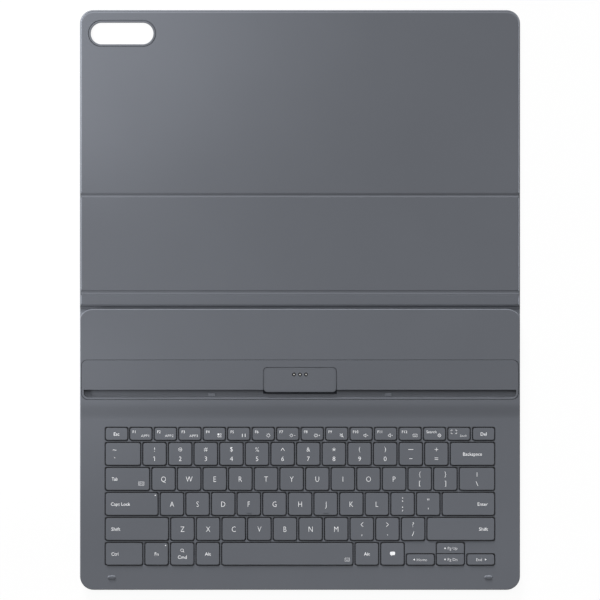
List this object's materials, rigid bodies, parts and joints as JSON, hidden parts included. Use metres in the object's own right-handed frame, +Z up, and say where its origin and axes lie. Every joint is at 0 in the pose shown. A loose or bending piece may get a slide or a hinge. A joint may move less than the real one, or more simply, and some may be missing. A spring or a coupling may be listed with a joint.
{
  "type": "tablet keyboard case",
  "caption": "Slim folding tablet case, lying open and flat: keyboard with tablet groove and tilting contact block, spine, stand and cover panel with a camera window, joined by creases.",
  "frame": {"origin": "middle of the open case's footprint, on the surface that it lies on", "axes": "+X to the right as a typist sees the keys, +Y from the keyboard towards the camera end of the cover, +Z up out of the inner face"},
  "size_m": [0.328, 0.432, 0.005],
  "materials": {
    "outer_skin": "soft-touch coated skin, fine grain",
    "inner_lining": "soft-touch coated lining, very fine grain",
    "window_trim": "satin moulded ring",
    "stiffener_sheet": "glass-fibre laminate sheet",
    "magnet_plating": "nickel-plated magnet",
    "shell_plastic": "fine spark texture, soft-touch paint",
    "inner_case_plastic": "plain moulded plastic",
    "tray_plastic": "fine spark texture",
    "keycap_plastic": "fine matte keycap, printed legends",
    "connector_plastic": "satin moulded plastic",
    "contact_gold": "gold-plated contact",
    "pin_steel": "ground steel pin",
    "plate_steel": "stamped sheet steel",
    "membrane_film": "black film with printed tracks",
    "dome_rubber": "dark silicone",
    "scissor_plastic": "black acetal",
    "board_laminate": "circuit board with solder mask",
    "flex_film": "polyimide film",
    "bumper_rubber": "matte rubber"
  },
  "bodies": {
    "keyboard": {"base_skin": "outer_skin", "bottom_case": "inner_case_plastic", "support_plate": "plate_steel", "membrane_sheet": "membrane_film", "rubber_domes": "dome_rubber", "key_scissors": "scissor_plastic", "top_case": "shell_plastic", "tray_insert": "tray_plastic", "pogo_flex_cable": "flex_film", "controller_board": "board_laminate", "keyboard_magnets": "magnet_plating", "front_bumpers": "bumper_rubber", "tray_stops": "tray_plastic", "spine_crease_web": "outer_skin"},
    "spine": {"spine_outer_skin": "outer_skin", "spine_stiffener": "stiffener_sheet", "spine_lining": "inner_lining", "stand_crease_web": "outer_skin"},
    "stand_panel": {"stand_outer_skin": "outer_skin", "stand_stiffener": "stiffener_sheet", "stand_lining": "inner_lining", "stand_magnets": "magnet_plating", "cover_crease_web": "outer_skin"},
    "cover_panel": {"cover_outer_skin": "outer_skin", "cover_stiffener": "stiffener_sheet", "cover_lining": "inner_lining", "cover_magnets": "magnet_plating", "camera_window_ring": "window_trim"},
    "connector": {"pogo_block": "connector_plastic", "pogo_board": "board_laminate", "pogo_pivot_pins": "pin_steel"},
    "contact_left": {"pogo_pin_left": "contact_gold"},
    "contact_middle": {"pogo_pin_middle": "contact_gold"},
    "contact_right": {"pogo_pin_right": "contact_gold"},
    "function_bank": {"function_keys": "keycap_plastic"},
    "number_bank": {"number_keys": "keycap_plastic"},
    "upper_letter_bank": {"upper_letter_keys": "keycap_plastic"},
    "home_letter_bank": {"home_letter_keys": "keycap_plastic"},
    "lower_letter_bank": {"lower_letter_keys": "keycap_plastic"},
    "esc": {"esc_key": "keycap_plastic"},
    "del": {"del_key": "keycap_plastic"},
    "backquote": {"backquote_key": "keycap_plastic"},
    "backspace": {"backspace_key": "keycap_plastic"},
    "tab": {"tab_key": "keycap_plastic"},
    "backslash": {"backslash_key": "keycap_plastic"},
    "caps_lock": {"caps_lock_key": "keycap_plastic"},
    "enter": {"enter_key": "keycap_plastic"},
    "shift_left": {"shift_key_left": "keycap_plastic"},
    "shift_right": {"shift_key_right": "keycap_plastic"},
    "ctrl": {"ctrl_key": "keycap_plastic"},
    "fn": {"fn_key": "keycap_plastic"},
    "cmd": {"cmd_key": "keycap_plastic"},
    "alt_left": {"alt_key_left": "keycap_plastic"},
    "space": {"space_key": "keycap_plastic"},
    "alt_right": {"alt_key_right": "keycap_plastic"},
    "assistant": {"assistant_key": "keycap_plastic"},
    "home": {"home_key": "keycap_plastic"},
    "page_up": {"page_up_key": "keycap_plastic"},
    "page_down": {"page_down_key": "keycap_plastic"},
    "end": {"end_key": "keycap_plastic"}
  },
  "joints": [
    {"name": "spine_fold", "type": "hinge", "parent": "keyboard", "child": "spine", "pos_m": [0, -0.0051, 0.00105], "axis": [1, 0, 0], "range_deg": [0, 90], "deforming": ["spine_crease_web"]},
    {"name": "stand_fold", "type": "hinge", "parent": "spine", "child": "stand_panel", "pos_m": [0, 0.00532, 0.00105], "axis": [1, 0, 0], "range_deg": [0, 90], "deforming": ["stand_crease_web"]},
    {"name": "cover_fold", "type": "hinge", "parent": "stand_panel", "child": "cover_panel", "pos_m": [0, 0.0781, 0.00105], "axis": [1, 0, 0], "range_deg": [-62, 0], "deforming": ["cover_crease_web"]},
    {"name": "connector_tilt", "type": "hinge", "parent": "keyboard", "child": "connector", "pos_m": [0, -0.0663, 0.00375], "axis": [-1, 0, 0], "range_deg": [-60, 0]},
    {"name": "contact_left_press", "type": "slide", "parent": "connector", "child": "contact_left", "axis": [0, 0, 1], "range_m": [-0.0004, 0], "stiffness_N_per_m": 500, "springref_m": 0.0003},
    {"name": "contact_middle_press", "type": "slide", "parent": "connector", "child": "contact_middle", "axis": [0, 0, 1], "range_m": [-0.0004, 0], "stiffness_N_per_m": 500, "springref_m": 0.0003},
    {"name": "contact_right_press", "type": "slide", "parent": "connector", "child": "contact_right", "axis": [0, 0, 1], "range_m": [-0.0004, 0], "stiffness_N_per_m": 500, "springref_m": 0.0003},
    {"name": "function_bank_press", "type": "slide", "parent": "keyboard", "child": "function_bank", "axis": [0, 0, 1], "range_m": [-0.0011, 0], "stiffness_N_per_m": 4200, "springref_m": 0.0005},
    {"name": "number_bank_press", "type": "slide", "parent": "keyboard", "child": "number_bank", "axis": [0, 0, 1], "range_m": [-0.0011, 0], "stiffness_N_per_m": 3600, "springref_m": 0.0005},
    {"name": "upper_letter_bank_press", "type": "slide", "parent": "keyboard", "child": "upper_letter_bank", "axis": [0, 0, 1], "range_m": [-0.0011, 0], "stiffness_N_per_m": 3600, "springref_m": 0.0005},
    {"name": "home_letter_bank_press", "type": "slide", "parent": "keyboard", "child": "home_letter_bank", "axis": [0, 0, 1], "range_m": [-0.0011, 0], "stiffness_N_per_m": 3300, "springref_m": 0.0005},
    {"name": "lower_letter_bank_press", "type": "slide", "parent": "keyboard", "child": "lower_letter_bank", "axis": [0, 0, 1], "range_m": [-0.0011, 0], "stiffness_N_per_m": 3000, "springref_m": 0.0005},
    {"name": "esc_press", "type": "slide", "parent": "keyboard", "child": "esc", "axis": [0, 0, 1], "range_m": [-0.0011, 0], "stiffness_N_per_m": 300, "springref_m": 0.0005},
    {"name": "del_press", "type": "slide", "parent": "keyboard", "child": "del", "axis": [0, 0, 1], "range_m": [-0.0011, 0], "stiffness_N_per_m": 300, "springref_m": 0.0005},
    {"name": "backquote_press", "type": "slide", "parent": "keyboard", "child": "backquote", "axis": [0, 0, 1], "range_m": [-0.0011, 0], "stiffness_N_per_m": 300, "springref_m": 0.0005},
    {"name": "backspace_press", "type": "slide", "parent": "keyboard", "child": "backspace", "axis": [0, 0, 1], "range_m": [-0.0011, 0], "stiffness_N_per_m": 300, "springref_m": 0.0005},
    {"name": "tab_press", "type": "slide", "parent": "keyboard", "child": "tab", "axis": [0, 0, 1], "range_m": [-0.0011, 0], "stiffness_N_per_m": 300, "springref_m": 0.0005},
    {"name": "backslash_press", "type": "slide", "parent": "keyboard", "child": "backslash", "axis": [0, 0, 1], "range_m": [-0.0011, 0], "stiffness_N_per_m": 300, "springref_m": 0.0005},
    {"name": "caps_lock_press", "type": "slide", "parent": "keyboard", "child": "caps_lock", "axis": [0, 0, 1], "range_m": [-0.0011, 0], "stiffness_N_per_m": 300, "springref_m": 0.0005},
    {"name": "enter_press", "type": "slide", "parent": "keyboard", "child": "enter", "axis": [0, 0, 1], "range_m": [-0.0011, 0], "stiffness_N_per_m": 300, "springref_m": 0.0005},
    {"name": "shift_left_press", "type": "slide", "parent": "keyboard", "child": "shift_left", "axis": [0, 0, 1], "range_m": [-0.0011, 0], "stiffness_N_per_m": 300, "springref_m": 0.0005},
    {"name": "shift_right_press", "type": "slide", "parent": "keyboard", "child": "shift_right", "axis": [0, 0, 1], "range_m": [-0.0011, 0], "stiffness_N_per_m": 300, "springref_m": 0.0005},
    {"name": "ctrl_press", "type": "slide", "parent": "keyboard", "child": "ctrl", "axis": [0, 0, 1], "range_m": [-0.0011, 0], "stiffness_N_per_m": 300, "springref_m": 0.0005},
    {"name": "fn_press", "type": "slide", "parent": "keyboard", "child": "fn", "axis": [0, 0, 1], "range_m": [-0.0011, 0], "stiffness_N_per_m": 300, "springref_m": 0.0005},
    {"name": "cmd_press", "type": "slide", "parent": "keyboard", "child": "cmd", "axis": [0, 0, 1], "range_m": [-0.0011, 0], "stiffness_N_per_m": 300, "springref_m": 0.0005},
    {"name": "alt_left_press", "type": "slide", "parent": "keyboard", "child": "alt_left", "axis": [0, 0, 1], "range_m": [-0.0011, 0], "stiffness_N_per_m": 300, "springref_m": 0.0005},
    {"name": "space_press", "type": "slide", "parent": "keyboard", "child": "space", "axis": [0, 0, 1], "range_m": [-0.0011, 0], "stiffness_N_per_m": 300, "springref_m": 0.0005, "deforming": ["rubber_domes", "key_scissors"]},
    {"name": "alt_right_press", "type": "slide", "parent": "keyboard", "child": "alt_right", "axis": [0, 0, 1], "range_m": [-0.0011, 0], "stiffness_N_per_m": 300, "springref_m": 0.0005},
    {"name": "assistant_press", "type": "slide", "parent": "keyboard", "child": "assistant", "axis": [0, 0, 1], "range_m": [-0.0011, 0], "stiffness_N_per_m": 300, "springref_m": 0.0005},
    {"name": "home_press", "type": "slide", "parent": "keyboard", "child": "home", "axis": [0, 0, 1], "range_m": [-0.0011, 0], "stiffness_N_per_m": 300, "springref_m": 0.0005},
    {"name": "page_up_press", "type": "slide", "parent": "keyboard", "child": "page_up", "axis": [0, 0, 1], "range_m": [-0.0011, 0], "stiffness_N_per_m": 300, "springref_m": 0.0005},
    {"name": "page_down_press", "type": "slide", "parent": "keyboard", "child": "page_down", "axis": [0, 0, 1], "range_m": [-0.0011, 0], "stiffness_N_per_m": 300, "springref_m": 0.0005},
    {"name": "end_press", "type": "slide", "parent": "keyboard", "child": "end", "axis": [0, 0, 1], "range_m": [-0.0011, 0], "stiffness_N_per_m": 300, "springref_m": 0.0005}
  ]
}
